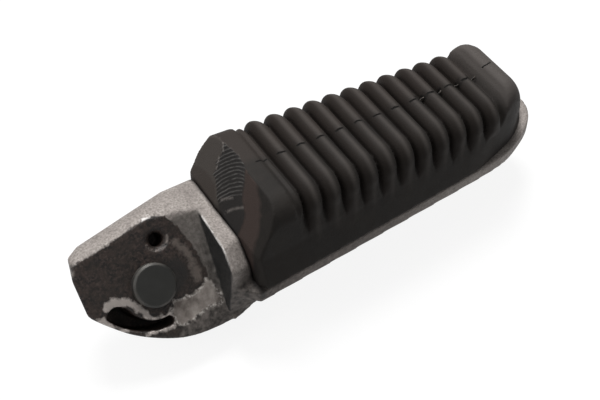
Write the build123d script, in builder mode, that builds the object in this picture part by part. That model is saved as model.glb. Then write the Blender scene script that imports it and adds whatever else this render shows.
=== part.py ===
from build123d import *
from math import acos, atan2, cos, sin, sqrt
import os

os.makedirs("parts", exist_ok=True)

# Main sizes in mm. X runs outboard from the pivot, Z is up, the pivot axis leans 45 degrees to the front
plate_bottom = -2.0
plate_top = 2.0
plate_tip_x = 129.3
plate_round_x = 95.0
plate_round_shares = ((0.65, 0.765), (0.87, 0.5))
plate_in = ((23.5, 0.3), (18.5, 5.2), (14.0, 9.2))
rib_start_x = 40.0
rib_pitch = 6.2
rib_count = 11
running_gap = 0.05
seat_gap = 0.1
clear = 60.0

# Half widths and heights of the pad, each at the first groove with its change per mm outboard
base_half, base_taper = 19.9, -0.053
waist_inset, top_inset = 1.6, 2.4
waist_half, waist_taper = base_half - waist_inset, -0.042
top_half, top_taper = base_half - top_inset, -0.035
pad_height, height_taper = 25.8, -0.079
groove_end_height, groove_end_taper = 10.5, -0.045

# Rubber pad: each level has its height, where its round outboard end starts and where it ends
pad_in_x = 24.2
waist_z = 12.5
pad_loft_top_z = 32.0
base_round, waist_round, top_round = (93.0, 126.6), (97.0, 120.3), (101.0, 110.0)
pad_round_shares = ((0.39, 0.87), (0.64, 0.72), (0.86, 0.46))
pad_crown_round = 6.8

# Raised cap at the outboard end: at each X its half width, top and corner radius, and its inner flank
cap_sections = ((101.0, 15.4, 23.0, 6.8), (106.0, 15.0, 22.8, 6.6), (109.0, 14.4, 23.6, 5.8), (112.0, 13.6, 24.9, 5.4),
                (113.6, 13.1, 24.8, 5.3), (115.5, 12.3, 23.7, 5.2), (117.2, 11.2, 21.4, 5.0), (120.0, 9.1, 14.9, 4.5),
                (123.0, 6.3, 8.4, 3.5), (125.8, 3.2, 4.4, 0.8))
cap_lean = 0.8
cap_wall = ((0.0, 0.0), (0.8, 1.9), (1.6, 3.7), (2.7, 5.2))
groove_depth = 3.5
groove_fall = ((0.0, 0.0), (1.2, 1.9), (3.5, groove_depth))
groove_rise = ((0.0, 0.0), (0.85, 2.1), (2.5, groove_depth))
groove_clear = 8.0
groove_tip_rise_x, groove_tip_rise = 98.0, 0.25
end_slope = ((24.2, 13.5), (31.2, 28.6))
end_corner = ((31.2, 16.0, 28.6), (31.2, 18.9, 22.0), (24.2, 19.5, 16.0))
end_plan_cut = ((24.2, 18.4), (26.0, 20.8))
scuff_top, scuff_low = (31.3, 4.5, 28.8), (24.3, -4.5, 14.2)
scuff_r, scuff_depth = 14.0, 0.9

# Core beam of the casting inside the pad, the insert plate on it and the bolts from below
core_half = 11.0
core_top = 10.0
core_end_x = 111.0
insert_thick = 3.0
insert_start_x = 38.0
insert_corner = 2.0
boss_r = 5.5
boss_cover = 1.1
bolt_xs = (52.0, 98.0)
thread_r = 3.0
bolt_hole_r = 3.3
bolt_length = 20.0
bolt_head_half = 5.0
bolt_head_height = 4.0
washer_r = 6.0
washer_thick = 1.6
boss_height = bolt_length + boss_cover + plate_bottom - washer_thick - core_top - insert_thick

# Hinge tongue. On its flat, u runs along X and v runs up the slope, both from the pivot axis
flat_height = 5.4
tongue_thick = 14.0
tongue_left_u = -19.5
tongue_corner = ((-12.0, 40.0), (-17.6, 14.5), (-19.5, 9.0))
tongue_undercut = 7.0
lip_line = ((-20.0, -17.9), (16.0, -12.2))
lip_r = 12.0
hub_stations = ((-22.0, 12.8, 9.5), (-17.5, 13.4, 11.3), (-13.5, 13.9, 13.4), (5.0, 15.6, 15.6), (14.0, 14.6, 18.0),
                (24.2, 12.6, 19.4))
shoulder_round = 5.0

# Neck: at each X its crest and cheek as (Y, Z), its front face at the bottom and its lowest level
neck_stations = ((13.0, (-10.5, 13.2), (-15.6, 9.4), -14.8, -9.6), (18.5, (-10.2, 13.8), (-16.2, 9.6), -15.7, -9.2),
                 (24.1, (-8.4, 13.0), (-14.4, 7.0), -17.4, -6.6))
neck_low_round, neck_crest_round = 1.2, 3.0
neck_sink = 0.7
neck_end_x, *_, neck_end_low = neck_stations[-1]
web_half, web_end_x = 15.0, 36.0
wall_low, wall_high = (16.5, -13.0), (19.2, 13.0)
pin_r = 4.0
pin_head_r = 6.0
pin_head_thick = 2.6
pin_head_chamfer = 0.6
pin_tail = 12.0
pin_tail_chamfer = 0.8
pin_hole_r = 1.25
pin_hole_from_end = 3.2
seat_u, seat_v = 5.8, 10.6
seat_r = 1.95
seat_mouth_r = 3.1
seat_deep = 7.0
pocket_deep = 11.0
pocket_outer = ((1.6, -12.0), (-2.9, -11.7), (-8.1, -9.8), (-12.3, -6.6), (-15.0, -3.2))
pocket_arch = ((-15.0, -3.2), (-13.9, -1.6), (-11.6, -1.1), (-9.5, -2.3), (-8.2, -4.7))
pocket_boss = ((-8.2, -4.7), (-4.2, -8.5), (1.3, -9.4))

tilt = sqrt(0.5)
pivot_axis = Vector(0, -tilt, tilt)
flat_plane = Plane(origin=pivot_axis * flat_height, x_dir=(1, 0, 0), z_dir=pivot_axis)
section_plane = Plane(origin=flat_plane.origin, x_dir=(1, 0, 0), z_dir=(0, -tilt, -tilt))


def grown(start, change, x):
    return start + change * (x - rib_start_x)


def hub_at(x):
    inner, outer = hub_stations[-2:]
    share = (x - inner[0]) / (outer[0] - inner[0])
    return [low + share * (high - low) for low, high in zip(inner[1:], outer[1:])]


def rounded_end(start_x, tip_x, wide, shares):
    back = [(start_x + (tip_x - start_x) * along, wide * across) for along, across in shares]
    front = [(x, -y) for x, y in back[::-1]]
    return [(start_x, wide), *back, (tip_x, 0), *front, (start_x, -wide)]


# Peg casting: hinge tongue, neck, plate and core beam in one
with BuildPart() as peg_casting:
    for x, top, back in hub_stations:
        with BuildSketch(Plane.YZ.offset(x)):
            with BuildLine():
                FilletPolyline((-24.0, -24.0), (back, -24.0), (back, top), (-24.0, top),
                               radius=(0, 0, shoulder_round, 0), close=True)
            make_face()
    loft(ruled=True)
    with BuildSketch(flat_plane):
        with BuildLine():
            Polyline((neck_end_x, -16.8), (neck_end_x, 40.0), *tongue_corner, (tongue_left_u, 2.0))
            Spline((tongue_left_u, 2.0), (-17.4, -2.5), (-10.9, -9.3), (-4.0, -13.9), (5.4, -17.6), (15.0, -18.6),
                   (neck_end_x, -16.8), tangents=[(0, -1), (1, 0.3)])
        make_face()
    extrude(amount=-tongue_thick, mode=Mode.INTERSECT)
    with BuildSketch(section_plane):
        with BuildLine():
            Polyline((tongue_left_u, 0), (tongue_left_u + tongue_undercut, -tongue_thick),
                     (-clear, -tongue_thick), (-clear, 0), close=True)
        make_face()
    extrude(amount=clear, both=True, mode=Mode.SUBTRACT)

    for x, crest, cheek, front, low in neck_stations:
        top, back = [size - neck_sink for size in hub_at(x)]
        with BuildSketch(Plane.YZ.offset(x)):
            with BuildLine():
                FilletPolyline((front, low), (back - 12.0, low), (back, low + 9.0), (back, top), crest, cheek,
                               radius=(neck_low_round, 0, 0, shoulder_round, neck_crest_round, neck_crest_round),
                               close=True)
            make_face()
    loft(ruled=True)

    # Web under the plate, running out from the neck
    with BuildSketch(Plane.XZ):
        with BuildLine():
            Polyline((neck_end_x, plate_top), (neck_end_x, neck_end_low), (web_end_x, plate_bottom), close=True)
        make_face()
    extrude(amount=web_half, both=True)

    with BuildSketch(Plane.XY.offset(plate_bottom)):
        with BuildLine():
            wide = grown(base_half, base_taper, plate_round_x)
            back_side = [(x, grown(base_half, base_taper, x) - inset) for x, inset in plate_in]
            front_side = [(x, -y) for x, y in back_side]
            Polyline((plate_round_x, -wide), *front_side, *back_side[::-1], (plate_round_x, wide))
            Spline(*rounded_end(plate_round_x, plate_tip_x, wide, plate_round_shares),
                   tangents=[(1, base_taper), (-1, base_taper)])
        make_face()
    extrude(amount=plate_top - plate_bottom)
    with BuildSketch(Plane.XY.offset(plate_top)):
        with Locations(((pad_in_x - 4.0 + core_end_x) / 2, 0)):
            Rectangle(core_end_x - pad_in_x + 4.0, 2 * core_half)
    extrude(amount=core_top - plate_top)

    # The flat: everything in front of it goes, up to the step wall
    with BuildSketch(flat_plane):
        with BuildLine():
            slope = (wall_high[0] - wall_low[0]) / (wall_high[1] - wall_low[1])
            wall_foot = wall_low[0] - slope * (clear + wall_low[1])
            wall_head = wall_high[0] + slope * (clear - wall_high[1])
            Polyline((-clear, -clear), (wall_foot, -clear), (wall_head, clear), (-clear, clear), close=True)
        make_face()
    extrude(amount=clear, mode=Mode.SUBTRACT)

    # Lower edge of the flat, falling away in a wide curve
    lip_from, lip_to = [flat_plane.from_local_coords(Vector(u, v, 0)) for u, v in lip_line]
    lip_out = (lip_to - lip_from).cross(pivot_axis)
    with BuildSketch(Plane(origin=lip_from, x_dir=lip_out, z_dir=lip_to - lip_from)):
        with BuildLine():
            ThreePointArc((0, 0), (lip_r * tilt, lip_r * (1 - tilt)), (lip_r, lip_r))
            Polyline((lip_r, lip_r), (clear, lip_r), (clear, -lip_r), (0, -lip_r), (0, 0))
        make_face()
    extrude(amount=(lip_to - lip_from).length, mode=Mode.SUBTRACT)

    # Bore for the pivot pin, empty ball seat, cored pocket and the two bolt holes
    with BuildSketch(flat_plane):
        Circle(pin_r + running_gap)
    extrude(amount=-2 * tongue_thick, mode=Mode.SUBTRACT)
    with Locations(flat_plane * Location((seat_u, seat_v, 0))):
        CounterSinkHole(seat_r, seat_mouth_r, seat_deep, 90)
    with BuildSketch(flat_plane):
        with BuildLine():
            Spline(*pocket_outer)
            Spline(*pocket_arch)
            ThreePointArc(*pocket_boss)
            Line(pocket_boss[-1], pocket_outer[0])
        make_face()
    extrude(amount=-pocket_deep, mode=Mode.SUBTRACT)
    with Locations(*[(x, 0, core_top) for x in bolt_xs]):
        Hole(bolt_hole_r, 2 * core_top)

peg_casting.part.label = "peg_casting"
export_step(peg_casting.part, "parts/peg_casting.step")


# Form of the pad's raised cap
with BuildPart() as cap_form:
    for x, half, top, corner in cap_sections:
        with BuildSketch(Plane.YZ.offset(x)):
            with BuildLine():
                FilletPolyline((cap_lean - half, plate_top), (-half, top), (half, top), (half - cap_lean, plate_top),
                               radius=(0, corner, corner, 0), close=True)
            make_face()
    loft(ruled=True)


# Rubber pad: tapered block with a rounded outboard end, crowned edges and a sloping inner end
with BuildPart() as rubber_pad:
    levels = ((plate_top, base_half, base_taper, base_round), (waist_z, waist_half, waist_taper, waist_round),
              (pad_loft_top_z, top_half, top_taper, top_round))
    for z, half, taper, (round_x, tip_x) in levels:
        with BuildSketch(Plane.XY.offset(z)):
            with BuildLine():
                near = grown(half, taper, pad_in_x)
                wide = grown(half, taper, round_x)
                Polyline((round_x, -wide), (pad_in_x, -near), (pad_in_x, near), (round_x, wide))
                Spline(*rounded_end(round_x, tip_x, wide, pad_round_shares), tangents=[(1, taper), (-1, taper)])
            make_face()
    loft(ruled=True)
    with BuildSketch(Plane.XZ):
        with BuildLine():
            in_z, out_z = [plate_top + grown(pad_height, height_taper, x) for x in (0.0, plate_tip_x)]
            Polyline((0, in_z), (plate_tip_x, out_z), (plate_tip_x, clear), (0, clear), close=True)
        make_face()
    extrude(amount=clear, both=True, mode=Mode.SUBTRACT)
    top_edges = rubber_pad.faces().filter_by(lambda face: face.normal_at().Z > 0.8).edges()
    fillet([edge for edge in top_edges if edge.center().X > 2 * pad_in_x], pad_crown_round)
    add(cap_form.part)

    # Inner end: a sloping face with cut corners over an upright foot
    low_point, high_point = [Vector(x, 0, z) for x, z in end_slope]
    cut_planes = [Plane(origin=low_point, x_dir=(0, 1, 0), z_dir=(high_point - low_point).cross(Vector(0, 1, 0)))]
    for side in (-1, 1):
        corner = [Vector(x, side * y, z) for x, y, z in end_corner]
        outward = (corner[1] - corner[0]).cross(corner[2] - corner[1]) * side
        cut_planes.append(Plane(origin=corner[1], x_dir=corner[1] - corner[0], z_dir=outward))
        plan = [Vector(x, side * y, 0) for x, y in end_plan_cut]
        outward = (plan[1] - plan[0]).cross(Vector(0, 0, 1)) * -side
        cut_planes.append(Plane(origin=plan[0], x_dir=(0, 0, 1), z_dir=outward))
    for plane in cut_planes:
        with Locations(plane):
            Box(clear, clear, clear, align=(Align.CENTER, Align.CENTER, Align.MIN), mode=Mode.SUBTRACT)

    # Shallow worn channel down the sloping face
    scuff_line = Vector(*scuff_top) - Vector(*scuff_low)
    scuff_plane = Plane(origin=Vector(*scuff_low) + cut_planes[0].z_dir * (scuff_r - scuff_depth),
                        x_dir=cut_planes[0].z_dir, z_dir=scuff_line)
    with Locations(scuff_plane):
        Cylinder(scuff_r, clear, mode=Mode.SUBTRACT)

    # Cross grooves: over the top, round both shoulders, then running out in a point on each side
    for k in range(rib_count + 1):
        x = rib_start_x + k * rib_pitch
        top_z = plate_top + grown(pad_height, height_taper, x)
        turn_r = pad_crown_round - groove_depth
        turn_y = grown(top_half, top_taper, x) - pad_crown_round
        turn_z = top_z - pad_crown_round
        end_z = (plate_top + grown(groove_end_height, groove_end_taper, x)
                 + groove_tip_rise * max(0.0, x - groove_tip_rise_x))
        reach_y = grown(waist_half, waist_taper, x) + seat_gap - turn_y
        reach_z = turn_z - end_z
        turn = atan2(reach_y, -reach_z) - acos(turn_r / sqrt(reach_y ** 2 + reach_z ** 2))
        across = [(turn_y + turn_r * sin(angle), turn_z + turn_r * cos(angle)) for angle in (0, turn / 2, turn)]
        run = 1.5 * sqrt(reach_y ** 2 + reach_z ** 2)
        end = (across[2][0] + run * cos(turn), across[2][1] - run * sin(turn))
        with BuildLine(Plane.YZ.offset(x)) as groove_path:
            Line((-end[0], end[1]), (-across[2][0], across[2][1]))
            ThreePointArc(*[(-y, z) for y, z in across[::-1]])
            Line((-across[0][0], across[0][1]), across[0])
            ThreePointArc(*across)
            Line(across[2], end)
        start_plane = Plane(origin=(x, -end[0], end[1]), x_dir=(-1, 0, 0), z_dir=(0, cos(turn), sin(turn)))
        with BuildSketch(start_plane):
            with BuildLine():
                outer_wall = cap_wall if k == rib_count else groove_rise
                Polyline(*groove_fall, (groove_fall[-1][0], groove_clear), (-outer_wall[-1][0], groove_clear),
                         *[(-half, height) for half, height in outer_wall[:0:-1]], close=True)
            make_face()
        sweep(path=groove_path.wire(), mode=Mode.SUBTRACT)

    # Hollow for the core beam, the insert plate and its bosses
    cavity_half = core_half + seat_gap
    insert_top = core_top + insert_thick + seat_gap
    with Locations((pad_in_x - seat_gap, 0, plate_top)):
        Box(core_end_x - pad_in_x + 2 * seat_gap, 2 * cavity_half, core_top - plate_top,
            align=(Align.MIN, Align.CENTER, Align.MIN), mode=Mode.SUBTRACT)
    with Locations((insert_start_x - seat_gap, 0, core_top)):
        Box(core_end_x - insert_start_x + 2 * seat_gap, 2 * cavity_half, insert_thick + seat_gap,
            align=(Align.MIN, Align.CENTER, Align.MIN), mode=Mode.SUBTRACT)
    with Locations(*[(x, 0, insert_top - seat_gap) for x in bolt_xs]):
        Cylinder(boss_r + seat_gap, boss_height + seat_gap, align=(Align.CENTER, Align.CENTER, Align.MIN),
                 mode=Mode.SUBTRACT)

rubber_pad.part.label = "rubber_pad"
export_step(rubber_pad.part, "parts/rubber_pad.step")


# Insert plate: steel strip on the core beam with two threaded bosses
with BuildPart() as insert_plate:
    with Locations(((insert_start_x + core_end_x) / 2, 0, core_top)):
        Box(core_end_x - insert_start_x, 2 * core_half, insert_thick, align=(Align.CENTER, Align.CENTER, Align.MIN))
    fillet(insert_plate.edges().filter_by(Axis.Z), insert_corner)
    with Locations(*[(x, 0, core_top + insert_thick) for x in bolt_xs]):
        Cylinder(boss_r, boss_height, align=(Align.CENTER, Align.CENTER, Align.MIN))
        Hole(thread_r + running_gap, 2 * core_top)

insert_plate.part.label = "insert_plate"
export_step(insert_plate.part, "parts/insert_plate.step")


# Two hexagon bolts from below, each with a plain washer
for place, x in zip(("inner", "outer"), bolt_xs):
    with BuildPart() as washer:
        with Locations((x, 0, plate_bottom)):
            Cylinder(washer_r, washer_thick, align=(Align.CENTER, Align.CENTER, Align.MAX))
            Hole(bolt_hole_r, 2 * washer_thick)
    washer.part.label = f"washer_{place}"
    export_step(washer.part, f"parts/washer_{place}.step")

    with BuildPart() as bolt:
        with BuildSketch(Plane.XY.offset(plate_bottom - washer_thick)):
            with Locations((x, 0)):
                RegularPolygon(bolt_head_half, 6, major_radius=False)
        extrude(amount=-bolt_head_height)
        chamfer(bolt.edges().group_by(Axis.Z)[0], 0.5)
        with BuildSketch(Plane.XY.offset(plate_bottom - washer_thick)):
            with Locations((x, 0)):
                Circle(thread_r)
        extrude(amount=bolt_length)
    bolt.part.label = f"bolt_{place}"
    export_step(bolt.part, f"parts/bolt_{place}.step")


# Pivot pin: round head on the flat, plain shank, cross hole near the free end
with BuildPart() as pivot_pin:
    head_plane = flat_plane.offset(running_gap)
    with BuildSketch(head_plane):
        Circle(pin_head_r)
    extrude(amount=pin_head_thick)
    chamfer(pivot_pin.faces().sort_by(Axis((0, 0, 0), pivot_axis))[-1].edges(), pin_head_chamfer)
    with BuildSketch(head_plane):
        Circle(pin_r)
    extrude(amount=-(tongue_thick + pin_tail))
    chamfer(pivot_pin.faces().sort_by(Axis((0, 0, 0), pivot_axis))[0].edges(), pin_tail_chamfer)
    hole_height = flat_height - tongue_thick - pin_tail + pin_hole_from_end
    with Locations(Plane(origin=pivot_axis * hole_height, x_dir=pivot_axis, z_dir=(1, 0, 0))):
        Cylinder(pin_hole_r, 4 * pin_r, mode=Mode.SUBTRACT)

pivot_pin.part.label = "pivot_pin"
export_step(pivot_pin.part, "parts/pivot_pin.step")
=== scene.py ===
import math

import bmesh
import bpy
import numpy as np
from mathutils import Matrix, Vector


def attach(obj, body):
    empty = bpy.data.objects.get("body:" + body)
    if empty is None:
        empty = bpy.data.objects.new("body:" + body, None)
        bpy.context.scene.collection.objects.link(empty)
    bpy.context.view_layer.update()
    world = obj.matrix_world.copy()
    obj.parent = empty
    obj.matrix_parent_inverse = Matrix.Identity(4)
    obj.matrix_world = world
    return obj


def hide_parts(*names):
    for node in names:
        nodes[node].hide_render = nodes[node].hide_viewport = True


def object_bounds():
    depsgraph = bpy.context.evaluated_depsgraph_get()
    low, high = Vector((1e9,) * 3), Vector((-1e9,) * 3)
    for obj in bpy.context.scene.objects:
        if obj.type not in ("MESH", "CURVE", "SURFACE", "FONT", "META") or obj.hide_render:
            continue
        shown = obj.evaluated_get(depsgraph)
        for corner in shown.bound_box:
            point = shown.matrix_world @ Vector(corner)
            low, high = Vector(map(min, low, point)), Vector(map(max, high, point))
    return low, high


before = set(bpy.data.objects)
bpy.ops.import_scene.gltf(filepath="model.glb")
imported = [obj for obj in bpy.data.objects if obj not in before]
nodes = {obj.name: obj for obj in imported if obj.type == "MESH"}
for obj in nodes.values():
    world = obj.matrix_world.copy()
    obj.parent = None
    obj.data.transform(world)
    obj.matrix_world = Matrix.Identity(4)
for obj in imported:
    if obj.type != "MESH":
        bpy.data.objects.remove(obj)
cad_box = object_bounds()


# Camera
# It stands in front of the hinge end, looks down along the peg and was fitted to the peg's edges in the
# photograph. Its distances are in metres.
target = Vector((0.0525, 0.0059, -0.0037))
camera_distance = 0.349
azimuth = math.radians(-32.6)
elevation = math.radians(49.3)
roll = math.radians(0.2)
lens = bpy.data.cameras.new("photo_camera")
lens.lens = 72.0
lens.sensor_width = 36.0
lens.clip_start = 0.01
lens.clip_end = 10.0
camera = bpy.data.objects.new("photo_camera", lens)
bpy.context.scene.collection.objects.link(camera)
tilted = Matrix.Rotation(azimuth, 4, "Z") @ Matrix.Rotation(math.pi / 2 - elevation, 4, "X")
turn = tilted @ Matrix.Rotation(roll, 4, "Z")
camera.matrix_world = Matrix.Translation(target + turn.to_3x3() @ Vector((0, 0, camera_distance))) @ turn
bpy.context.scene.camera = camera
bpy.context.scene.view_settings.view_transform = "Standard"


# Floor and light
# A pale studio table in a dim, even white room. A wide lamp hangs high over the rear side of the peg, and
# a weak one stands off its hinge end.
def colour(code):
    """A hex colour as it looks on screen, as linear values for a shader."""
    parts = [int(code[i:i + 2], 16) / 255 for i in (1, 3, 5)]
    return [p / 12.92 if p <= 0.04045 else ((p + 0.055) / 1.055) ** 2.4 for p in parts] + [1.0]


def add(tree, kind, sockets=None, out=0, **settings):
    """Adds a shader node with its settings, values and links, and gives back one of its outputs."""
    node = tree.nodes.new("ShaderNode" + kind)
    for name, value in settings.items():
        setattr(node, name, value)
    for name, value in (sockets or {}).items():
        if isinstance(value, bpy.types.NodeSocket):
            tree.links.new(value, node.inputs[name])
        else:
            node.inputs[name].default_value = value
    return node.outputs[out]


def new_material(name):
    """A node material, its tree, and the output that its last shader is linked to."""
    made = bpy.data.materials.new(name)
    made.use_nodes = True
    made.node_tree.nodes.clear()
    return made, made.node_tree, made.node_tree.nodes.new("ShaderNodeOutputMaterial")


def lamp(name, place, size, watts):
    """A square lamp, sized and placed in metres, that faces the peg."""
    data = bpy.data.lights.new(name, "AREA")
    data.shape = "SQUARE"
    data.size = size
    data.energy = watts
    made = bpy.data.objects.new(name, data)
    bpy.context.scene.collection.objects.link(made)
    facing_peg = (target - Vector(place)).to_track_quat("-Z", "Y").to_matrix().to_4x4()
    made.matrix_world = Matrix.Translation(place) @ facing_peg


room_strength = 0.24
floor_half = 3.0
table_cloud = 0.15
table_glow = 0.88

room = bpy.data.worlds.new("studio")
room.use_nodes = True
room.node_tree.nodes["Background"].inputs["Color"].default_value = (1, 1, 1, 1)
room.node_tree.nodes["Background"].inputs["Strength"].default_value = room_strength
bpy.context.scene.world = room
lamp("key", (0.18, 0.38, 0.92), 0.45, 10.0)
lamp("fill", (-0.7, 0.1, 0.6), 0.5, 2.0)

floor_mesh = bpy.data.meshes.new("floor")
sheet = bmesh.new()
bmesh.ops.create_grid(sheet, x_segments=1, y_segments=1, size=floor_half)
bmesh.ops.translate(sheet, verts=sheet.verts, vec=(0, 0, cad_box[0][2]))
sheet.to_mesh(floor_mesh)
sheet.free()
floor = bpy.data.objects.new("floor", floor_mesh)
bpy.context.scene.collection.objects.link(floor)

# Matt grey paint, so that little light comes back up under the peg. What the camera sees of it glows
# nearly white and keeps the shadow.
white, tree, out = new_material("white_table")
place = add(tree, "TexCoord", out="Object")
cloud = add(tree, "TexNoise", {"Vector": place, "Scale": 1 / table_cloud})
pale = add(tree, "MixRGB", {"Fac": cloud, "Color1": colour("#6c6c6c"), "Color2": colour("#747474")})
matt = add(tree, "BsdfDiffuse", {"Color": pale})
glow = add(tree, "Emission", {"Color": colour("#ffffff"), "Strength": table_glow})
lifted = add(tree, "AddShader", {0: matt, 1: glow})
rays = add(tree, "LightPath").node
seen = rays.outputs["Is Camera Ray"]
for kind in ("Is Glossy Ray", "Is Transmission Ray"):
    seen = add(tree, "Math", {0: seen, 1: rays.outputs[kind]}, operation="MAXIMUM")
tree.links.new(add(tree, "MixShader", {0: seen, 1: matt, 2: lifted}), out.inputs["Surface"])
floor_mesh.materials.append(white)


# Peg casting
# The arm of the peg: an aluminium die casting, with a hinge tongue whose sloping flat carries the head of
# the pivot pin, and a long plate that the pad is bolted onto. Its edges are cast round, so a copy of the
# solid is remeshed.
MM = 0.001


def soft_copy(node, name, voxel, rounds):
    """A copy of a CAD node's mesh, remeshed in even cells and smoothed, as the edges of a moulding are."""
    piece = bpy.data.objects.new(name, nodes[node].data.copy())
    bpy.context.scene.collection.objects.link(piece)
    even = piece.modifiers.new("even", "REMESH")
    even.mode = "VOXEL"
    even.voxel_size = voxel * MM
    even.use_smooth_shade = True
    soften = piece.modifiers.new("soften", "SMOOTH")
    soften.factor = 0.5
    soften.iterations = rounds
    shape = bpy.data.meshes.new_from_object(piece.evaluated_get(bpy.context.evaluated_depsgraph_get()))
    piece.modifiers.clear()
    piece.data = shape
    shape.materials.clear()
    return piece


def points_of(piece):
    """Each vertex's place in mm, as three rows of numbers."""
    flat = np.empty(3 * len(piece.data.vertices))
    piece.data.vertices.foreach_get("co", flat)
    return flat.reshape(-1, 3).T / MM


def facing_of(piece):
    """Each vertex's normal, as three rows of numbers."""
    flat = np.empty(3 * len(piece.data.vertices))
    piece.data.vertices.foreach_get("normal", flat)
    return flat.reshape(-1, 3).T


def ramp(value, none, full):
    """Rises from 0 to 1 as a value goes from where there is none to where it is full."""
    return np.clip((value - none) / (full - none), 0, 1)


def depth_in(across, up, outline):
    """How deep each point lies inside a closed outline, in mm; negative outside it."""
    corners = np.array(outline, dtype=float)
    nearest = np.full(across.shape, 1e9)
    inside = np.zeros(across.shape, dtype=bool)
    for (ax, ay), (bx, by) in zip(corners, np.roll(corners, -1, axis=0)):
        dx, dy = bx - ax, by - ay
        along = np.clip(((across - ax) * dx + (up - ay) * dy) / (dx * dx + dy * dy), 0, 1)
        nearest = np.minimum(nearest, np.hypot(across - ax - along * dx, up - ay - along * dy))
        if ay != by:
            inside ^= ((ay > up) != (by > up)) & (across < ax + dx * (up - ay) / dy)
    return np.where(inside, nearest, -nearest)


def paint(piece, field, values):
    """A number on each vertex, which the piece's material reads by the name of the field."""
    layer = piece.data.attributes.new(field, "FLOAT", "POINT")
    layer.data.foreach_set("value", np.asarray(values, dtype=np.float32))


def torn_patch(tree, field, speckle, reach, soft):
    """A painted depth as a patch, its edge torn by a speckle over a reach and soft over a width, in mm."""
    depth = add(tree, "Attribute", out="Fac", attribute_name=field)
    tear = add(tree, "Math", {0: speckle, 1: reach, 2: -reach / 2}, operation="MULTIPLY_ADD")
    torn = add(tree, "Math", {0: depth, 1: tear}, operation="ADD")
    return add(tree, "MapRange", {"Value": torn, "From Min": -soft, "From Max": soft})


def flecked_patch(tree, field, speckle, low, high):
    """A painted share broken into flecks, which fill in as a speckle rises from low to high."""
    share = add(tree, "Attribute", out="Fac", attribute_name=field)
    flecks = add(tree, "MapRange", {"Value": speckle, "From Min": low, "From Max": high})
    return add(tree, "Math", {0: share, 1: flecks}, operation="MULTIPLY")


def speckled_tone(tree, speckle, low, high, dark, light):
    """Two hex colours, dark where a speckle is low and light where it is high."""
    share = add(tree, "MapRange", {"Value": speckle, "From Min": low, "From Max": high})
    return add(tree, "MixRGB", {"Fac": share, "Color1": colour(dark), "Color2": colour(light)})


def coat(tree, tone, over, patch, strength=1.0):
    """Covers a tone with another, on a patch or where a field is painted, as strongly as asked."""
    if isinstance(patch, str):
        patch = add(tree, "Attribute", out="Fac", attribute_name=patch)
    share = add(tree, "Math", {0: patch, 1: strength}, operation="MULTIPLY")
    return add(tree, "MixRGB", {"Fac": share, "Color1": tone, "Color2": over})


def finish(tree, out, tone, rough, metallic, relief, deep, strength, specular=0.5):
    """The end of a material: its relief, some mm deep, and the shader that its output is linked to."""
    bump = add(tree, "Bump", {"Height": relief, "Strength": strength, "Distance": deep * MM})
    shade = add(tree, "BsdfPrincipled", {"Base Color": tone, "Roughness": rough, "Metallic": metallic,
                                         "Specular IOR Level": specular, "Normal": bump})
    tree.links.new(shade, out.inputs["Surface"])


# Stains, wear and the pin head's painted shadow, outlined in mm on the flat of the tongue: outboard
# and up the slope from the pin. The flat lies flat_height along the pin from the frame's origin, and ends
# at a step wall that leans outboard up the slope.
cast_cell = 0.45
flat_height = 5.4
wall_low, wall_high = (16.5, -13.0), (19.2, 13.0)
seat_place, seat_rim = (5.7, 10.8), 3.1
chip_start, chip_end, chip_up = 4.2, 6.4, 17.1
nub_place = (-19.3, 12.2)
plate_joint = 24.2
grease_outline = (
    (-23, 13.6), (-12, 14.1), (-5.8, 15.2), (0.6, 16.3), (5.0, 17.0), (7.4, 17.0), (9.7, 15.9),
    (11.9, 13.3), (13.0, 9.6), (14.0, 5.6), (14.9, 1.4), (15.0, -2.2), (14.7, -4.8), (12.5, -7.4),
    (5.0, -9.0), (2.5, -14.5), (-5.0, -20.0), (-23, -12.0))
broad_bare = (
    (3.3, -5.9), (5.3, -6.5), (7.9, -7.0), (11.4, -6.5), (13.9, -4.7), (15.0, -5.5), (15.6, -8.5),
    (16.2, -11.1), (15.6, -12.8), (11.8, -12.1), (8.6, -12.8), (5.5, -13.4), (2.1, -13.7), (1.5, -9.9),
    (1.7, -8.3))
pocket_lip = (
    (-14.8, -0.9), (-13.9, 1.1), (-11.9, 1.4), (-9.5, 0.7), (-7.4, -0.5), (-6.1, -2.4), (-4.4, -5.9),
    (-3.1, -7.9), (-0.7, -8.8), (1.5, -8.8), (1.5, -9.9), (-1.6, -9.5), (-3.9, -8.4), (-5.5, -7.2),
    (-7.6, -3.5), (-8.7, -2.2), (-10.0, -1.5), (-11.4, -1.2), (-13.2, -1.6))
pocket_corner = (
    (-17.5, -2.2), (-15.6, -2.1), (-15.0, -3.9), (-13.2, -6.4), (-11.0, -8.1), (-12.7, -8.1),
    (-15.7, -5.1))
outer_lip = (
    (-7.3, -10.5), (-3.7, -11.7), (0.0, -12.1), (1.2, -12.1), (1.1, -13.2), (-2.4, -12.7), (-6.8, -11.5))
rubbed_arc = (
    (9.0, 8.2), (10.5, 5.3), (11.4, 2.2), (11.1, -0.9), (10.4, -3.8), (12.7, -4.9), (13.2, -2.4),
    (13.2, 1.4), (12.1, 6.2), (10.2, 9.0))
dusty_strip = ((7, 16.5), (9.1, 13.7), (12.7, 14.3), (19.5, 13.2), (16.5, -13), (10, -13), (10, 5))
# Where the pin head's painted shadow lies on the flat, right of the head and below it.
pin_shadow_outline = ((8.8, 4.4), (10.4, 1.1), (9.9, -1.6), (7.4, -3.8), (4.0, -5.4), (4.0, 3.0))

casting = soft_copy("peg_casting", "peg_arm", cast_cell, 3)
x, y, z = points_of(casting)
facing_x, facing_y, facing_z = facing_of(casting)
above = (z - y) * math.sqrt(0.5) - flat_height
up_slope = (y + z) * math.sqrt(0.5)
off_flat = 3 * np.maximum(np.abs(above) - 0.5, 0)
over_flat = 3 * np.maximum(above - 0.5, 0)
wall_gap = x - np.interp(up_slope, (wall_low[1], wall_high[1]), (wall_low[0], wall_high[0]))

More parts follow.
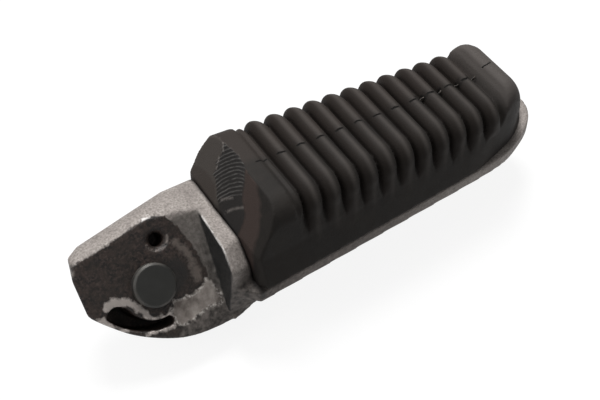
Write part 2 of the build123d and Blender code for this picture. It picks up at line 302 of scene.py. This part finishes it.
lips = (pocket_lip, pocket_corner, outer_lip)
lip_depth = np.max([depth_in(x, up_slope, lip) for lip in lips], axis=0)
paint(casting, "grease", depth_in(x, up_slope, grease_outline) - over_flat)
paint(casting, "bare", np.maximum(depth_in(x, up_slope, broad_bare), lip_depth) - off_flat)
paint(casting, "bright", lip_depth > -0.4)
paint(casting, "arc", depth_in(x, up_slope, rubbed_arc) - off_flat)
paint(casting, "dusty", depth_in(x, up_slope, dusty_strip) - off_flat)
paint(casting, "pin_shadow", depth_in(x, up_slope, pin_shadow_outline) - off_flat)

# The lower half of the seat's rim gets a painted highlight, where light falls on its chamfer.
rim_gap = np.abs(np.hypot(x - seat_place[0], up_slope - seat_place[1]) - seat_rim)
paint(casting, "seat_highlight", ramp(rim_gap, 0.4, 0) * (up_slope < seat_place[1]) * (np.abs(above) < 1))

# Dark film and painted shade lie on the wall and in the crease along its foot, and a light line is painted
# along the wall's upper edge.
along_foot = ramp(wall_gap, -2.2, -1.0) * (wall_gap < 0.3) * ramp(np.abs(up_slope + 1.5), 11, 6)
on_wall = ramp(np.abs(wall_gap), 1.2, 0) * (above > 0.3) * ramp(-facing_x, 0.3, 0.8)
paint(casting, "film_and_shade", along_foot * (np.abs(above) < 0.55) + on_wall)
chip = np.hypot(x - np.clip(x, chip_start, chip_end), up_slope - chip_up) < 0.4
wall_edge = (np.abs(wall_gap) < 0.95) * (above > 1.5) * ramp(np.abs(facing_x + 0.5), 0.4545, 0)
paint(casting, "chip_and_bright_edge", chip + wall_edge * ramp(up_slope, -3, 1))

# Painted shade under the neck and tongue, on the plate's near side and in the joint where the pad ends;
# a light nub at the tip.
under_neck = ramp(z, 9, 2) * (x > 15) * ramp(x, 36, 30) * ramp(y, 8, 0)
paint(casting, "low", under_neck + ramp(up_slope, -10.5, -12.5) * (x < 17))
# Painted shade on the plate's faces turned away from the light, deepest towards the hinge.
paint(casting, "edge", ramp(x, 98, 63) * ramp(-facing_y, 0.25, 0.75) * (x > plate_joint) * (z < 3))
paint(casting, "joint_shade", ramp(np.abs(x - plate_joint), 1.26, 0.36) * (z > -1))
paint(casting, "nub", ramp(np.hypot(x - nub_place[0], up_slope - nub_place[1]), 1.76, 0.66))

# Die-cast aluminium, sandy and dull from the mould. Grease and road dirt make it brown and matt, and
# rubbing brings the light metal back in flecked patches. The grain is drawn at 0.6 mm, coarser than the
# real one, so that it shows.
metal, tree, out = new_material("worn_cast_aluminium")
place = add(tree, "TexCoord", out="Object")
sand = add(tree, "TexNoise", {"Vector": place, "Scale": 1 / (0.625 * MM), "Detail": 3.0})
fine = add(tree, "TexNoise", {"Vector": place, "Scale": 1 / (0.2381 * MM), "Detail": 2.0})
blotch = add(tree, "TexNoise", {"Vector": place, "Scale": 1 / (5.882 * MM), "Detail": 5.0})
speck = add(tree, "TexNoise", {"Vector": place, "Scale": 1 / (1.4286 * MM), "Detail": 6.0})

tone = speckled_tone(tree, sand, 0.3, 0.7, "#827b76", "#b7afa9")
dull_patch = add(tree, "MapRange", {"Value": blotch, "From Min": 0.35, "From Max": 0.7})
tone = coat(tree, tone, colour("#6d6561"), dull_patch, 0.45)
# Painted shade under the neck and below the tongue's lip, speckled.
tone = coat(tree, tone, speckled_tone(tree, speck, 0.35, 0.65, "#35312e", "#746d68"), "low")
# Painted shade on the plate's near side.
tone = coat(tree, tone, speckled_tone(tree, speck, 0.35, 0.65, "#3f3834", "#6e655f"), "edge", 0.8)
# Dark film and painted shade on the wall and in the crease at its foot.
tone = coat(tree, tone, speckled_tone(tree, speck, 0.35, 0.7, "#232323", "#373635"), "film_and_shade")
dusty = torn_patch(tree, "dusty", speck, 1.6, 0.5)
tone = coat(tree, tone, speckled_tone(tree, speck, 0.35, 0.65, "#4f4a46", "#6e6964"), dusty, 0.85)

grease_tone = speckled_tone(tree, speck, 0.38, 0.62, "#120d0b", "#352a25")
grit = add(tree, "MapRange", {"Value": sand, "From Min": 0.5, "From Max": 0.65})
grease_tone = coat(tree, grease_tone, colour("#5b4d46"), grit, 0.35)
pool = add(tree, "MapRange", {"Value": blotch, "From Min": 0.4, "From Max": 0.65})
grease_tone = coat(tree, grease_tone, colour("#241e19"), pool, 0.6)
greasy = torn_patch(tree, "grease", speck, 2.4, 0.25)
tone = coat(tree, tone, grease_tone, greasy)
# Painted shadow of the pin head on the flat.
tone = coat(tree, tone, colour("#1d1b19"), torn_patch(tree, "pin_shadow", speck, 1.5, 0.6), 0.8)
tone = coat(tree, tone, colour("#7d736c"), torn_patch(tree, "arc", speck, 3.0, 0.6), 0.45)
# Painted highlight on the lower half of the seat's rim.
tone = coat(tree, tone, colour("#857b75"), flecked_patch(tree, "seat_highlight", speck, 0.35, 0.55))

bare_tone = speckled_tone(tree, blotch, 0.38, 0.62, "#6c645e", "#bcb3ac")
bare_depth = add(tree, "Attribute", out="Fac", attribute_name="bare")
bare_rim = add(tree, "MapRange", {"Value": bare_depth, "From Min": 0.9, "From Max": 0.1})
glints = add(tree, "MapRange", {"Value": sand, "From Min": 0.45, "From Max": 0.6})
bare_rim = add(tree, "Math", {0: bare_rim, 1: glints}, operation="MULTIPLY")
bare_tone = coat(tree, bare_tone, colour("#dcd6d0"), bare_rim)
bare_tone = coat(tree, bare_tone, colour("#c0b7b1"), "bright", 0.8)
bare = torn_patch(tree, "bare", speck, 3.0, 0.4)
tone = coat(tree, tone, bare_tone, bare)
tone = coat(tree, tone, colour("#8f8781"), flecked_patch(tree, "nub", speck, 0.35, 0.5))
# A light chip, and a light line painted along the wall's upper edge.
tone = coat(tree, tone, colour("#e6e2df"), flecked_patch(tree, "chip_and_bright_edge", speck, 0.4, 0.5))
# Painted shade in the joint between the casting and the pad.
tone = coat(tree, tone, colour("#2a2624"), "joint_shade")

rough = add(tree, "MapRange", {"Value": greasy, "To Min": 0.62, "To Max": 0.5})
rough = add(tree, "MapRange", {"Value": bare, "To Min": rough, "To Max": 0.42})
metallic = add(tree, "MapRange", {"Value": greasy, "To Min": 0.25, "To Max": 0.0})
metallic = add(tree, "MapRange", {"Value": bare, "To Min": metallic, "To Max": 0.55})
grain = add(tree, "Math", {0: fine, 1: sand}, operation="ADD")
finish(tree, out, tone, rough, metallic, grain, 0.25, 0.55)
casting.data.materials.append(metal)
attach(casting, "footpeg")
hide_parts("peg_casting")


# Rubber pad
# Black natural rubber, moulded in one piece round a steel insert plate and bolted onto the casting from
# below. It has eleven cross ribs with round crests, between a block with a sloping end and a wide cap.
pad_cell = 0.45
rib_start, rib_pitch, rib_count = 40.0, 6.2, 11
rib_end = rib_start + rib_count * rib_pitch
crest_share = 0.42
groove_depth = 3.5
pad_half, side_taper = 17.65, 0.035
pad_top, top_taper = 27.8, 0.079
crown_round = 6.8
groove_foot, foot_taper = 12.5, 0.045
side_lean = 0.041
mould_step = 0.3
torn_start, torn_end = 86, 109
block_middle, cap_middle = 36.8, 112.3

# The crests are rounded by setting how far each point of a rib stands from a core line that runs inside
# the ribs. The crests are full at the top and fade out at the feet of the grooves; the two mould halves
# met with a small step.
pad = soft_copy("rubber_pad", "tread_pad", pad_cell, 4)
x, y, z = points_of(pad)
past = x - rib_start
turns = np.mod(past / rib_pitch, 1.0)
rise = np.where(turns < crest_share, turns / crest_share, (1 - turns) / (1 - crest_share))
ribbed = ramp(x, rib_start - 2.6, rib_start - 1.4) * ramp(x, rib_end - 0.2, rib_end - 1.0)
half = pad_half - side_taper * past
core_top = pad_top - top_taper * past - crown_round
core_y = np.clip(y, crown_round - half, half - crown_round)
core_z = np.minimum(z, core_top)
reach = np.maximum(np.hypot(y - core_y, z - core_z), 0.001)
fade = ramp(z, groove_foot - foot_taper * past, core_top)
skirt = side_lean * np.maximum(core_top - z, 0)
step = mould_step * (y > 0) * ramp(z, 18, 21) * rise
round_crest = (1 - (1 - rise) ** 2.3) ** 0.6
wanted = crown_round + skirt + step - groove_depth * fade * (1 - round_crest)
swell = ribbed * ramp(fade, 0.3, 0.8) * (reach > 1.5) * (wanted - reach)
y, z = y + swell * (y - core_y) / reach, z + swell * (z - core_z) / reach
pad.data.vertices.foreach_set("co", (np.stack((x, y, z), axis=1) * MM).ravel())
pad.data.update()
facing_x, facing_y, facing_z = facing_of(pad)

# A painted highlight along the crests, painted shade in the grooves and on the rib sides that face the
# hinge, and tears at the mould line.
on_rib = ribbed * ramp(z, 9, 15)
paint(pad, "crest_highlight", np.exp(-((turns - 0.52) / 0.13) ** 2) * on_rib)
paint(pad, "flank_shade", ramp(turns, 0.46, 0.3) * on_rib)
paint(pad, "groove_shade", ramp(rise, 0.25, 0) * on_rib)
paint(pad, "rear", ramp(y, 0, 2.5) * ramp(z, 14, 20))
# Painted light on the cap's upward faces.
paint(pad, "cap_top_light", ramp(x, 107.5, 110) * ramp(z, 15, 21) * ramp(facing_z, -1 / 3, 1 / 3))
torn_span = (x > torn_start) * (x < torn_end) * (z > 17)
paint(pad, "tear", ramp(np.abs(y - 0.4), 1.4, 0.7) * ramp(rise, 0.8, 0.3) * torn_span)
rib_crests = np.where(x > 39, ramp(rise, 0.5, 0.65) * ribbed, np.abs(x - block_middle) < 1.7)
paint(pad, "notch", (rib_crests + (np.abs(x - cap_middle) < 1.6)) * (z > 16))

# The sloping end: its marks are outlined in mm as (Y, Z). A strip is worn into fine ridges, and a brown
# stain runs down beside it to a darker foot.
slope_low, slope_high = (24.2, 13.5), (31.2, 28.6)
strip_outline = (
    (10.8, 28.8), (-0.2, 29.0), (-0.9, 27.0), (-2.1, 25.6), (-2.5, 23.1), (-3.7, 20.9), (-5.5, 20.3),
    (-7.2, 19.3), (-7.8, 17.1), (-6.5, 6.0), (-0.5, 6.0), (0.2, 13.0), (3.1, 14.2), (5.0, 15.7),
    (6.5, 17.5), (8.1, 19.1), (9.5, 19.3), (9.1, 21.3), (10.4, 22.4), (9.5, 25.9))
stain_outline = (
    (-0.2, 29.0), (-6.5, 28.8), (-9.3, 26.8), (-11.3, 24.5), (-13.1, 21.5), (-14.7, 18.2), (-15.5, 13.0),
    (-15.5, 6.0), (-6.5, 6.0), (-7.8, 17.1), (-7.2, 19.3), (-4.0, 21.1), (-2.8, 23.3), (-2.3, 25.8),
    (-1.1, 27.1))
foot_outline = (
    (21.0, 12.0), (19.5, 15.2), (16.2, 17.0), (12.8, 18.0), (9.9, 18.1), (7.4, 17.4), (5.0, 15.0),
    (5.0, 12.0))
scratches = (
    ((11.2, 29.0), (9.4, 26.8)), ((9.1, 21.3), (9.9, 24.4)), ((3.0, 16.1), (0.0, 18.7)),
    ((-0.1, 14.2), (-1.7, 16.3)), ((-1.7, 16.3), (-5.6, 20.2)))
ridge_pitch = 1.0
ridge_lean = math.radians(42.53)
ridge_bow, ridge_middle = 0.024, 14.5
ridge_waver = 2.2

run, climb = slope_high[0] - slope_low[0], slope_high[1] - slope_low[1]
off_slope = ((x - slope_low[0]) * climb - (z - slope_low[1]) * run) / math.hypot(run, climb)
off_slope = np.where(z < slope_low[1], x - slope_low[0], off_slope)
on_slope = ramp(np.abs(off_slope), 2, 1) * (facing_x < -0.3)
paint(pad, "strip", depth_in(y, z, strip_outline) - 6 * (1 - on_slope))
paint(pad, "stain", depth_in(y, z, stain_outline) - 6 * (1 - on_slope))
paint(pad, "foot", depth_in(y, z, foot_outline) - 6 * (1 - on_slope))
paint(pad, "pale", on_slope * ramp(y, 1, 5))
scratched = np.zeros(x.shape)
for (ay, az), (by, bz) in scratches:
    dy, dz = by - ay, bz - az
    along = np.clip(((y - ay) * dy + (z - az) * dz) / (dy * dy + dz * dz), 0, 1)
    scratched = np.maximum(scratched, ramp(np.hypot(y - ay - along * dy, z - az - along * dz), 0.4, 0))
paint(pad, "scratch", scratched * on_slope)
up_strip = z * math.cos(ridge_lean) + y * math.sin(ridge_lean)
over_strip = z * math.sin(ridge_lean) - y * math.cos(ridge_lean)
paint(pad, "ridge", up_strip + ridge_bow * (over_strip - ridge_middle) ** 2)

# Weathered rubber: a dark warm grey without shine, dusted in clouds 11 mm wide, with a grit of 0.4 mm.
rubber, tree, out = new_material("weathered_rubber")
place = add(tree, "TexCoord", out="Object")
dust = add(tree, "TexNoise", {"Vector": place, "Scale": 1 / (2.0 * MM), "Detail": 5.0})
cloud = add(tree, "TexNoise", {"Vector": place, "Scale": 1 / (11.11 * MM), "Detail": 4.0})
grit = add(tree, "TexNoise", {"Vector": place, "Scale": 1 / (0.4 * MM), "Detail": 3.0})
tone = speckled_tone(tree, dust, 0.0, 1.0, "#252321", "#312e2c")
clouded = add(tree, "MapRange", {"Value": cloud, "From Min": 0.4, "From Max": 0.7})
tone = coat(tree, tone, colour("#37332f"), clouded, 0.5)
tone = coat(tree, tone, colour("#403935"), "rear", 0.5)
# Painted shade on the rib sides that face the hinge, a painted highlight on the crests, painted shade in
# the grooves.
tone = coat(tree, tone, colour("#241f1c"), "flank_shade", 0.75)
tone = coat(tree, tone, colour("#4f4a47"), "crest_highlight", 0.6)
tone = coat(tree, tone, colour("#12100f"), "groove_shade", 0.35)
tone = coat(tree, tone, colour("#0e0c0b"), flecked_patch(tree, "tear", dust, 0.4, 0.55))
tone = coat(tree, tone, colour("#524d49"), "pale", 0.8)
# Painted light on the top of the cap.
tone = coat(tree, tone, colour("#5d5855"), "cap_top_light", 0.7)
tone = coat(tree, tone, colour("#4b403c"), torn_patch(tree, "stain", dust, 2.0, 0.8), 0.8)
tone = coat(tree, tone, colour("#3a322e"), torn_patch(tree, "foot", dust, 0.6, 0.4), 0.4)

# The worn strip: wavering ridges at their own pitch, lighter on top, which stop above its lower end.
worn_strip = torn_patch(tree, "strip", dust, 0.8, 0.3)
ridge = add(tree, "Attribute", out="Fac", attribute_name="ridge")
waver = add(tree, "Math", {0: cloud, 1: ridge_waver, 2: ridge}, operation="MULTIPLY_ADD")
phase = add(tree, "Math", {0: waver, 1: 2 * math.pi / ridge_pitch}, operation="MULTIPLY")
wave = add(tree, "Math", {0: phase}, operation="SINE")
ridge_top = add(tree, "MapRange", {"Value": wave, "From Min": -0.4, "From Max": 1.0})
upper_strip = add(tree, "MapRange", {"Value": ridge, "From Min": 13.6, "From Max": 14.6})
broken = add(tree, "MapRange", {"Value": dust, "From Min": 0.25, "From Max": 0.6})
ridge_top = add(tree, "Math", {0: ridge_top, 1: upper_strip}, operation="MULTIPLY")
ridge_top = add(tree, "Math", {0: ridge_top, 1: broken}, operation="MULTIPLY")
tone = coat(tree, tone, speckled_tone(tree, ridge_top, 0.0, 1.0, "#302e2d", "#575553"), worn_strip)
tone = coat(tree, tone, colour("#7b7571"), flecked_patch(tree, "scratch", dust, 0.3, 0.5))

# The mould line: a thin dark nick, wandering 0.8 mm to each side of the middle, where the crests cross it.
middle = add(tree, "SeparateXYZ", {"Vector": place}, out="Y")
wander = add(tree, "TexNoise", {"Vector": place, "Scale": 1 / (4.5455 * MM), "Detail": 2.0})
wander = add(tree, "Math", {0: wander, 1: 1.6 * MM, 2: -0.8 * MM}, operation="MULTIPLY_ADD")
beside = add(tree, "Math", {0: middle, 1: wander}, operation="ADD")
beside = add(tree, "Math", {0: beside}, operation="ABSOLUTE")
nick = add(tree, "MapRange", {"Value": beside, "From Min": 0.28 * MM, "From Max": 0.12 * MM})
notch = add(tree, "Attribute", out="Fac", attribute_name="notch")
nick = add(tree, "Math", {0: nick, 1: notch}, operation="MULTIPLY")
tone = coat(tree, tone, colour("#121110"), nick)

ridge_relief = add(tree, "Math", {0: ridge_top, 1: worn_strip}, operation="MULTIPLY")
relief = add(tree, "Math", {0: grit, 1: 0.35, 2: 0.0}, operation="MULTIPLY_ADD")
relief = add(tree, "Math", {0: ridge_relief, 1: 0.6, 2: relief}, operation="MULTIPLY_ADD")
relief = add(tree, "Math", {0: relief, 1: nick}, operation="SUBTRACT")
rough = add(tree, "MapRange", {"Value": dust, "To Min": 0.6, "To Max": 0.75})
finish(tree, out, tone, rough, 0.0, relief, 0.4, 0.6, 0.12)
pad.data.materials.append(rubber)
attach(pad, "footpeg")
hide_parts("rubber_pad")


# Torn moulding flash
# Thin webs of the pad's own rubber that squeezed out between the mould halves. They are left across the
# last four grooves, on the parting line, and are torn at their edges.
flash_spans = ((86.2, 90.2), (93.0, 96.2), (98.9, 102.2), (105.2, 108.6))
flash_thick = 0.25
flash_steps = 8

# Torn rubber: dark, with lighter dry flakes about a millimetre wide.
torn, tree, out = new_material("torn_rubber_flash")
place = add(tree, "TexCoord", out="Object")
flake = add(tree, "TexNoise", {"Vector": place, "Scale": 1 / (1.1111 * MM), "Detail": 4.0})
finish(tree, out, speckled_tone(tree, flake, 0.4, 0.65, "#1d1a18", "#70675f"), 0.8, 0.0, flake, 0.2, 0.4)

random = np.random.default_rng(7)
for number, (start, end) in enumerate(flash_spans):
    columns = np.linspace(start, end, flash_steps + 1)
    sag = 0.6 * np.sin(np.linspace(0, math.pi, flash_steps + 1))
    crest_line = pad_top - top_taper * (columns - rib_start)
    tops = crest_line - 0.5 - 0.35 * random.random(flash_steps + 1) - sag
    lows = tops - 0.4 - 0.8 * random.random(flash_steps + 1)
    sheet = bmesh.new()
    bmesh.ops.create_grid(sheet, x_segments=flash_steps, y_segments=1, size=0.5)
    for corner in sheet.verts:
        k = round((corner.co.x + 0.5) * flash_steps)
        sway = 0.25 * math.sin(columns[k] * 1.7) - flash_thick / 2
        corner.co = Vector((columns[k], sway, tops[k] if corner.co.y > 0 else lows[k])) * MM
    sheet.normal_update()
    bmesh.ops.solidify(sheet, geom=sheet.faces, thickness=flash_thick * MM)
    mesh = bpy.data.meshes.new(f"flash_{number}")
    sheet.to_mesh(mesh)
    sheet.free()
    web = bpy.data.objects.new(f"flash_{number}", mesh)
    bpy.context.scene.collection.objects.link(web)
    mesh.materials.append(torn)
    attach(web, "footpeg")


# Pivot pin
# A steel pin with a round head, cold headed from bar. It passes through the tongue and is held in the
# bracket by a clip in the cross hole of its free end. The solid is shown as it is.
rim_start, rim_end = 5.1, 5.7

# Dark oiled steel: green-black with a low shine, smeared, with a painted highlight on the rounded rim of
# the head.
steel, tree, out = new_material("dark_oiled_steel")
place = add(tree, "TexCoord", out="Object")
smear = add(tree, "TexNoise", {"Vector": place, "Scale": 1 / (4.0 * MM), "Detail": 4.0})
scale = add(tree, "TexNoise", {"Vector": place, "Scale": 1 / (0.6667 * MM), "Detail": 4.0})
pin_line = (0, -math.sqrt(0.5), math.sqrt(0.5))
along = add(tree, "VectorMath", {0: place, 1: pin_line}, out="Value", operation="DOT_PRODUCT")
on_line = add(tree, "VectorMath", {0: pin_line, "Scale": along}, operation="SCALE")
from_line = add(tree, "VectorMath", {0: place, 1: on_line}, out="Value", operation="DISTANCE")
# A painted highlight on the head's rounded rim, broken up by the smear.
rim_highlight = add(tree, "MapRange", {"Value": from_line, "From Min": rim_start * MM, "From Max": rim_end * MM})
highlight_breakup = add(tree, "MapRange", {"Value": smear, "From Min": 0.4, "From Max": 0.6})
rim_highlight = add(tree, "Math", {0: rim_highlight, 1: highlight_breakup}, operation="MULTIPLY")
tone = speckled_tone(tree, smear, 0.0, 1.0, "#2b2b29", "#3a3a38")
tone = coat(tree, tone, colour("#5e5a55"), rim_highlight, 0.6)
finish(tree, out, tone, 0.5, 0.3, scale, 0.1, 0.15)
nodes["pivot_pin"].data.materials.clear()
nodes["pivot_pin"].data.materials.append(steel)


# Insert plate, bolts and washers
# The pressed steel plate inside the pad has two threaded bosses, and two hexagon bolts with plain washers
# pull it down onto the casting from below. The solids are shown as they are.

# Zinc-plated steel gone dull: a soft grey shine with a bloom of white rust 3 mm across.
zinc, tree, out = new_material("dull_zinc")
place = add(tree, "TexCoord", out="Object")
bloom = add(tree, "TexNoise", {"Vector": place, "Scale": 1 / (3.3333 * MM), "Detail": 4.0})
finish(tree, out, speckled_tone(tree, bloom, 0.0, 1.0, "#7d7b74", "#9c9a92"), 0.5, 0.8, bloom, 0.1, 0.1)
for name in ("insert_plate", "bolt_inner", "bolt_outer", "washer_inner", "washer_outer"):
    nodes[name].data.materials.clear()
    nodes[name].data.materials.append(zinc)
